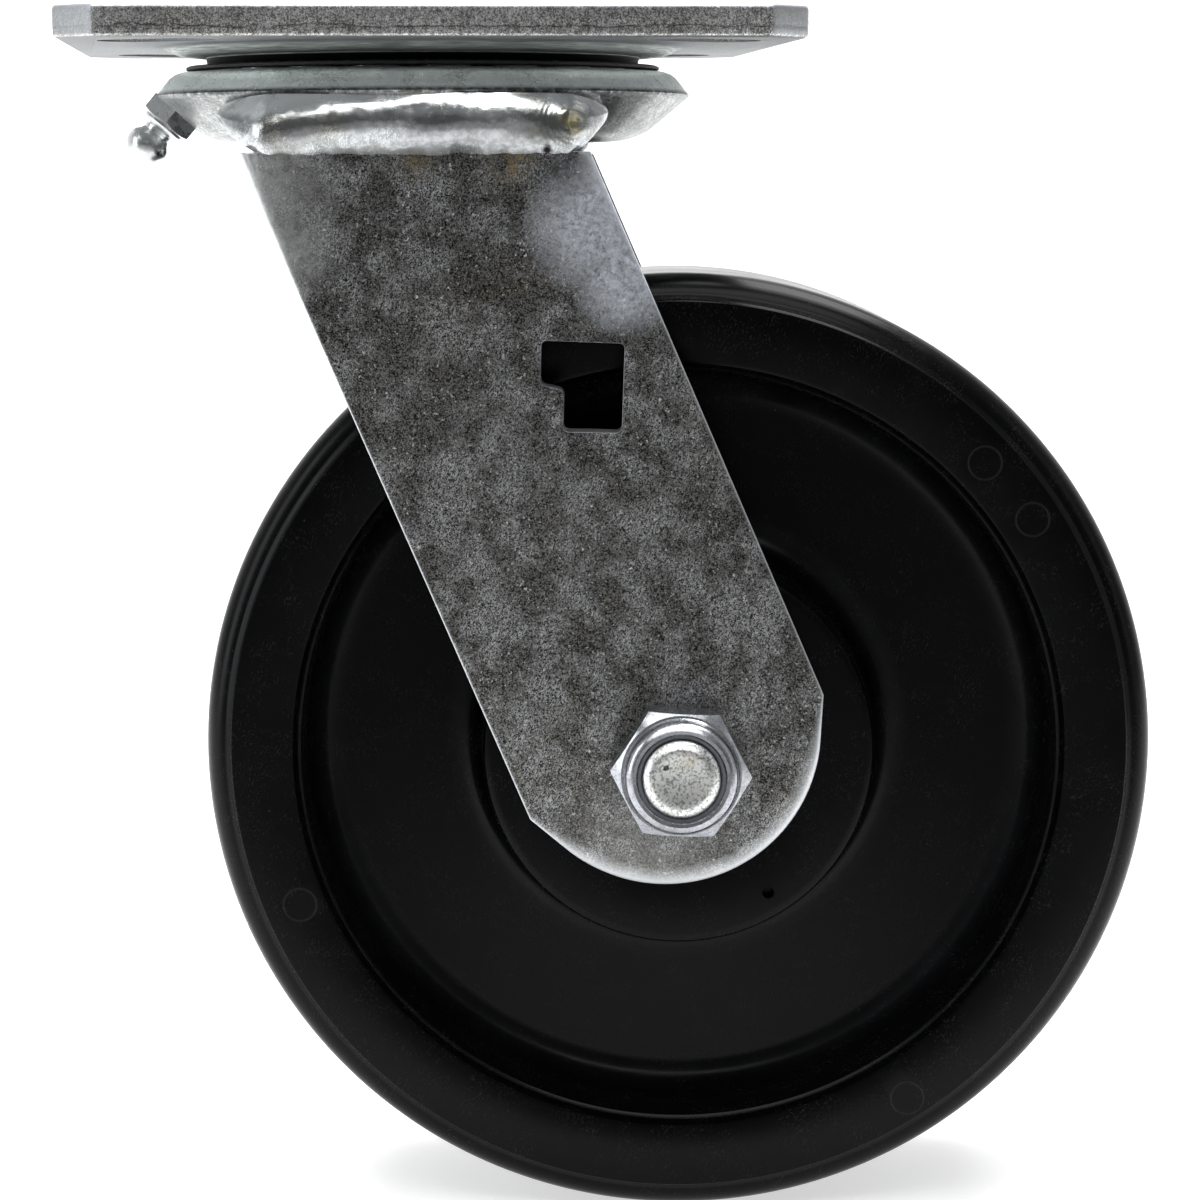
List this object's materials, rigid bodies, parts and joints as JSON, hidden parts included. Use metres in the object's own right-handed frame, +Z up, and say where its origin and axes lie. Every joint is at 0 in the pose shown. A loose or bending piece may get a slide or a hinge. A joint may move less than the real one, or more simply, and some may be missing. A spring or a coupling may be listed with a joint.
{
  "type": "swivel plate caster",
  "caption": "Swivel plate caster used as a gate support wheel: slotted top plate, ball raceway, welded two-leg fork and solid wheel.",
  "frame": {"origin": "centre of the top plate's upper face, on the swivel axis", "axes": "+Z up out of the plate, X along the plate's long side. At rest the wheel trails towards +X and the fork stands 5.3 degrees clockwise of it seen from above, with the axle nut on the -Y side"},
  "size_m": [0.176, 0.108, 0.1937],
  "materials": {
    "zinc_plate": "zinc plated, mottled satin",
    "weld_metal": "zinc plated weld bead, smooth and bright",
    "zinc_fastener": "zinc plated, fine turned",
    "fitting_steel": "zinc plated",
    "nylon": "natural nylon",
    "seal_rubber": "matte",
    "bearing_steel": "ground",
    "cap_plastic": "matte",
    "ball_steel": "polished",
    "wheel_plastic": "satin black moulded",
    "cage_plastic": "matte"
  },
  "bodies": {
    "plate": {"top_plate": "zinc_plate", "kingpin_nut": "zinc_plate", "lower_race_cup": "zinc_plate", "dust_seal": "seal_rubber"},
    "upper_balls": {"upper_ball_01": "ball_steel", "upper_ball_02": "ball_steel", "upper_ball_03": "ball_steel", "upper_ball_04": "ball_steel", "upper_ball_05": "ball_steel", "upper_ball_06": "ball_steel", "upper_ball_07": "ball_steel", "upper_ball_08": "ball_steel", "upper_ball_09": "ball_steel", "upper_ball_10": "ball_steel", "upper_ball_11": "ball_steel", "upper_ball_12": "ball_steel", "upper_ball_13": "ball_steel", "upper_ball_14": "ball_steel", "upper_ball_15": "ball_steel", "upper_ball_16": "ball_steel", "upper_ball_17": "ball_steel", "upper_ball_18": "ball_steel"},
    "lower_balls": {"lower_ball_01": "ball_steel", "lower_ball_02": "ball_steel", "lower_ball_03": "ball_steel", "lower_ball_04": "ball_steel", "lower_ball_05": "ball_steel", "lower_ball_06": "ball_steel", "lower_ball_07": "ball_steel", "lower_ball_08": "ball_steel", "lower_ball_09": "ball_steel", "lower_ball_10": "ball_steel", "lower_ball_11": "ball_steel", "lower_ball_12": "ball_steel"},
    "fork": {"yoke_base": "zinc_plate", "near_leg": "zinc_plate", "far_leg": "zinc_plate", "near_weld": "weld_metal", "far_weld": "weld_metal", "grease_fitting": "fitting_steel", "axle_bolt": "zinc_fastener", "axle_nut": "zinc_fastener", "nut_insert": "nylon", "axle_sleeve": "bearing_steel", "thrust_washer_near": "bearing_steel", "thrust_washer_far": "bearing_steel", "dust_cap_near": "cap_plastic", "dust_cap_far": "cap_plastic"},
    "wheel": {"wheel": "wheel_plastic"},
    "rollers": {"roller_cage": "cage_plastic", "roller_01": "ball_steel", "roller_02": "ball_steel", "roller_03": "ball_steel", "roller_04": "ball_steel", "roller_05": "ball_steel", "roller_06": "ball_steel", "roller_07": "ball_steel", "roller_08": "ball_steel"}
  },
  "joints": [
    {"name": "swivel", "type": "hinge", "parent": "plate", "child": "fork", "pos_m": [0, 0, 0], "axis": [0, 0, 1], "continuous": true},
    {"name": "upper_ball_roll", "type": "hinge", "parent": "plate", "child": "upper_balls", "pos_m": [0, 0, -0.0087], "axis": [0, 0, 1], "continuous": true},
    {"name": "lower_ball_roll", "type": "hinge", "parent": "plate", "child": "lower_balls", "pos_m": [0, 0, -0.0212], "axis": [0, 0, 1], "continuous": true},
    {"name": "wheel_spin", "type": "hinge", "parent": "fork", "child": "wheel", "pos_m": [0.04112, -0.00381, -0.1175], "axis": [0.0924, 0.9957, 0], "continuous": true},
    {"name": "roller_roll", "type": "hinge", "parent": "fork", "child": "rollers", "pos_m": [0.04112, -0.00381, -0.1175], "axis": [0.0924, 0.9957, 0], "continuous": true}
  ],
  "couplings": [
    {"joint": "upper_ball_roll", "follows": "swivel", "ratio": 0.5},
    {"joint": "lower_ball_roll", "follows": "swivel", "ratio": 0.5},
    {"joint": "roller_roll", "follows": "wheel_spin", "ratio": 0.613}
  ]
}
